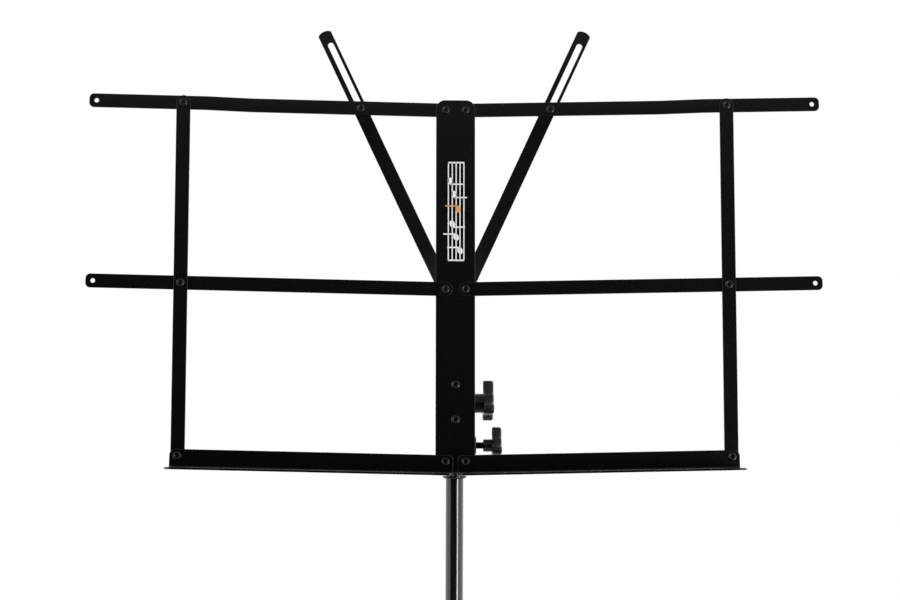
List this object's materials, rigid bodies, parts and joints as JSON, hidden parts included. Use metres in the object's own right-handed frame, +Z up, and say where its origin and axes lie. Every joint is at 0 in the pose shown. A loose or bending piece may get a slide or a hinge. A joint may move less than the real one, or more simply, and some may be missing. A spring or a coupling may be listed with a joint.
{
  "type": "music stand",
  "caption": "Folding music stand: riveted strip desk with slotted arms and L-shaped ledge on a tilting, swivelling socket, telescopic column and folding tripod.",
  "frame": {"origin": "on the floor, at the centre of the footprint's bounding box", "axes": "+Z up, the desk faces -Y, +X to the right of a player who reads from it"},
  "size_m": [0.4906, 0.3897, 0.9517],
  "materials": {
    "black_powder_coat": "satin black powder coat",
    "gloss_black_enamel": "gloss black enamel",
    "black_rivet_steel": "black oxide",
    "zinc_plated_steel": "bright zinc plate",
    "turned_brass": "turned",
    "moulded_black_nylon": "fine moulded grain",
    "natural_nylon": "moulded",
    "black_rubber": "moulded"
  },
  "bodies": {
    "column": {"lower_tube": "gloss_black_enamel", "leg_hub": "moulded_black_nylon", "hub_pins": "black_rivet_steel", "lower_clamp_collar": "moulded_black_nylon", "lower_clamp_insert": "turned_brass"},
    "lower_clamp_hand": {"lower_clamp_screw": "black_rivet_steel", "lower_clamp_knob": "moulded_black_nylon"},
    "middle_section": {"middle_tube": "gloss_black_enamel", "middle_tube_guide": "natural_nylon", "upper_clamp_collar": "moulded_black_nylon", "upper_clamp_insert": "turned_brass"},
    "upper_clamp_hand": {"upper_clamp_screw": "black_rivet_steel", "upper_clamp_knob": "moulded_black_nylon"},
    "upper_section": {"upper_tube": "gloss_black_enamel", "upper_tube_guide": "natural_nylon"},
    "socket": {"desk_socket": "moulded_black_nylon", "socket_insert": "turned_brass"},
    "socket_hand": {"socket_screw": "black_rivet_steel", "socket_knob": "moulded_black_nylon"},
    "desk": {"spine": "black_powder_coat", "spine_rivets": "black_rivet_steel", "ledge_spacers": "black_rivet_steel", "tilt_bracket": "black_powder_coat", "bracket_rivets": "black_rivet_steel", "tilt_bolt": "zinc_plated_steel"},
    "tilt_hand": {"tilt_knob": "moulded_black_nylon", "tilt_nut": "zinc_plated_steel"},
    "leg_collar": {"leg_collar": "moulded_black_nylon", "collar_rivets": "black_rivet_steel"},
    "middle_bar_right": {"middle_bar_right": "black_powder_coat"},
    "top_bar_right": {"top_bar_right": "black_powder_coat", "arm_rivet_right": "black_rivet_steel"},
    "ledge_right": {"ledge_right": "black_powder_coat"},
    "upright_right": {"upright_right": "black_powder_coat", "upright_rivets_right": "black_rivet_steel"},
    "arm_right": {"arm_right": "black_powder_coat"},
    "middle_bar_left": {"middle_bar_left": "black_powder_coat"},
    "top_bar_left": {"top_bar_left": "black_powder_coat", "arm_rivet_left": "black_rivet_steel"},
    "ledge_left": {"ledge_left": "black_powder_coat"},
    "upright_left": {"upright_left": "black_powder_coat", "upright_rivets_left": "black_rivet_steel"},
    "arm_left": {"arm_left": "black_powder_coat"},
    "brace_back": {"brace_back": "gloss_black_enamel"},
    "leg_back": {"leg_back": "gloss_black_enamel", "knee_rivet_back": "black_rivet_steel", "foot_back": "black_rubber"},
    "brace_front_left": {"brace_front_left": "gloss_black_enamel"},
    "leg_front_left": {"leg_front_left": "gloss_black_enamel", "knee_rivet_front_left": "black_rivet_steel", "foot_front_left": "black_rubber"},
    "brace_front_right": {"brace_front_right": "gloss_black_enamel"},
    "leg_front_right": {"leg_front_right": "gloss_black_enamel", "knee_rivet_front_right": "black_rivet_steel", "foot_front_right": "black_rubber"}
  },
  "joints": [
    {"name": "lower_clamp_turn", "type": "hinge", "parent": "column", "child": "lower_clamp_hand", "pos_m": [0, -0.0609, 0.4213], "axis": [1, 0, 0], "range_deg": [0, 270]},
    {"name": "middle_tube_slide", "type": "slide", "parent": "column", "child": "middle_section", "axis": [0, 0, 1], "range_m": [-0.055, 0.2]},
    {"name": "upper_clamp_turn", "type": "hinge", "parent": "middle_section", "child": "upper_clamp_hand", "pos_m": [0, -0.0609, 0.5213], "axis": [1, 0, 0], "range_deg": [0, 270]},
    {"name": "upper_tube_slide", "type": "slide", "parent": "middle_section", "child": "upper_section", "axis": [0, 0, 1], "range_m": [-0.11, 0.17]},
    {"name": "desk_swivel", "type": "hinge", "parent": "upper_section", "child": "socket", "pos_m": [0, -0.0609, 0.7], "axis": [0, 0, 1], "continuous": true},
    {"name": "socket_turn", "type": "hinge", "parent": "socket", "child": "socket_hand", "pos_m": [0, -0.0609, 0.6718], "axis": [1, 0, 0], "range_deg": [0, 270]},
    {"name": "desk_tilt", "type": "hinge", "parent": "socket", "child": "desk", "pos_m": [0, -0.0609, 0.7], "axis": [1, 0, 0], "range_deg": [-84, 8]},
    {"name": "tilt_knob_turn", "type": "hinge", "parent": "desk", "child": "tilt_hand", "pos_m": [0, -0.0609, 0.7], "axis": [1, 0, 0], "range_deg": [0, 270]},
    {"name": "fold_right", "type": "hinge", "parent": "desk", "child": "middle_bar_right", "pos_m": [0.00665, -0.06697, 0.77615], "axis": [0, -0.9945, 0.1045], "range_deg": [0, 84]},
    {"name": "top_bar_right_pivot", "type": "hinge", "parent": "desk", "child": "top_bar_right", "pos_m": [0.00665, -0.05427, 0.89699], "axis": [0, -0.9945, 0.1045], "range_deg": [0, 84]},
    {"name": "ledge_right_pivot", "type": "hinge", "parent": "desk", "child": "ledge_right", "pos_m": [0.00665, -0.07894, 0.66228], "axis": [0, -0.9945, 0.1045], "range_deg": [0, 84]},
    {"name": "upright_right_pivot", "type": "hinge", "parent": "middle_bar_right", "child": "upright_right", "pos_m": [0.18221, -0.06659, 0.77981], "axis": [0, -0.9945, 0.1045], "range_deg": [-84, 0]},
    {"name": "arm_right_pivot", "type": "hinge", "parent": "desk", "child": "arm_right", "pos_m": [0.00665, -0.06697, 0.77615], "axis": [0, -0.9945, 0.1045], "range_deg": [0, 24]},
    {"name": "fold_left", "type": "hinge", "parent": "desk", "child": "middle_bar_left", "pos_m": [-0.00665, -0.06697, 0.77615], "axis": [0, 0.9945, -0.1045], "range_deg": [0, 84]},
    {"name": "top_bar_left_pivot", "type": "hinge", "parent": "desk", "child": "top_bar_left", "pos_m": [-0.00665, -0.05427, 0.89699], "axis": [0, 0.9945, -0.1045], "range_deg": [0, 84]},
    {"name": "ledge_left_pivot", "type": "hinge", "parent": "desk", "child": "ledge_left", "pos_m": [-0.00665, -0.07894, 0.66228], "axis": [0, 0.9945, -0.1045], "range_deg": [0, 84]},
    {"name": "upright_left_pivot", "type": "hinge", "parent": "middle_bar_left", "child": "upright_left", "pos_m": [-0.18221, -0.06659, 0.77981], "axis": [0, 0.9945, -0.1045], "range_deg": [-84, 0]},
    {"name": "arm_left_pivot", "type": "hinge", "parent": "desk", "child": "arm_left", "pos_m": [-0.00665, -0.06697, 0.77615], "axis": [0, 0.9945, -0.1045], "range_deg": [0, 24]},
    {"name": "tripod_fold", "type": "hinge", "parent": "column", "child": "brace_back", "pos_m": [0, -0.0414, 0.03584], "axis": [1, 0, 0], "range_deg": [0, 54]},
    {"name": "leg_back_knee", "type": "hinge", "parent": "brace_back", "child": "leg_back", "pos_m": [0, 0.05145, 0.09847], "axis": [1, 0, 0], "range_deg": [-108, 0]},
    {"name": "leg_collar_pivot", "type": "hinge", "parent": "leg_back", "child": "leg_collar", "pos_m": [0, -0.0414, 0.1611], "axis": [1, 0, 0], "range_deg": [0, 54]},
    {"name": "brace_front_left_pivot", "type": "hinge", "parent": "column", "child": "brace_front_left", "pos_m": [-0.01689, -0.07065, 0.03584], "axis": [-0.5, 0.866, 0], "range_deg": [0, 54]},
    {"name": "leg_front_left_knee", "type": "hinge", "parent": "brace_front_left", "child": "leg_front_left", "pos_m": [-0.0973, -0.11708, 0.09847], "axis": [-0.5, 0.866, 0], "range_deg": [-108, 0]},
    {"name": "brace_front_right_pivot", "type": "hinge", "parent": "column", "child": "brace_front_right", "pos_m": [0.01689, -0.07065, 0.03584], "axis": [-0.5, -0.866, 0], "range_deg": [0, 54]},
    {"name": "leg_front_right_knee", "type": "hinge", "parent": "brace_front_right", "child": "leg_front_right", "pos_m": [0.0973, -0.11708, 0.09847], "axis": [-0.5, -0.866, 0], "range_deg": [-108, 0]}
  ],
  "couplings": [
    {"joint": "top_bar_right_pivot", "follows": "fold_right", "ratio": 1},
    {"joint": "ledge_right_pivot", "follows": "fold_right", "ratio": 1},
    {"joint": "upright_right_pivot", "follows": "fold_right", "ratio": -1},
    {"joint": "arm_right_pivot", "follows": "fold_right", "ratio": 0.27848},
    {"joint": "top_bar_left_pivot", "follows": "fold_left", "ratio": 1},
    {"joint": "ledge_left_pivot", "follows": "fold_left", "ratio": 1},
    {"joint": "upright_left_pivot", "follows": "fold_left", "ratio": -1},
    {"joint": "arm_left_pivot", "follows": "fold_left", "ratio": 0.27994},
    {"joint": "leg_back_knee", "follows": "tripod_fold", "ratio": -2},
    {"joint": "leg_collar_pivot", "follows": "tripod_fold", "ratio": 1},
    {"joint": "brace_front_left_pivot", "follows": "tripod_fold", "ratio": 1},
    {"joint": "leg_front_left_knee", "follows": "tripod_fold", "ratio": -2},
    {"joint": "brace_front_right_pivot", "follows": "tripod_fold", "ratio": 1},
    {"joint": "leg_front_right_knee", "follows": "tripod_fold", "ratio": -2}
  ]
}
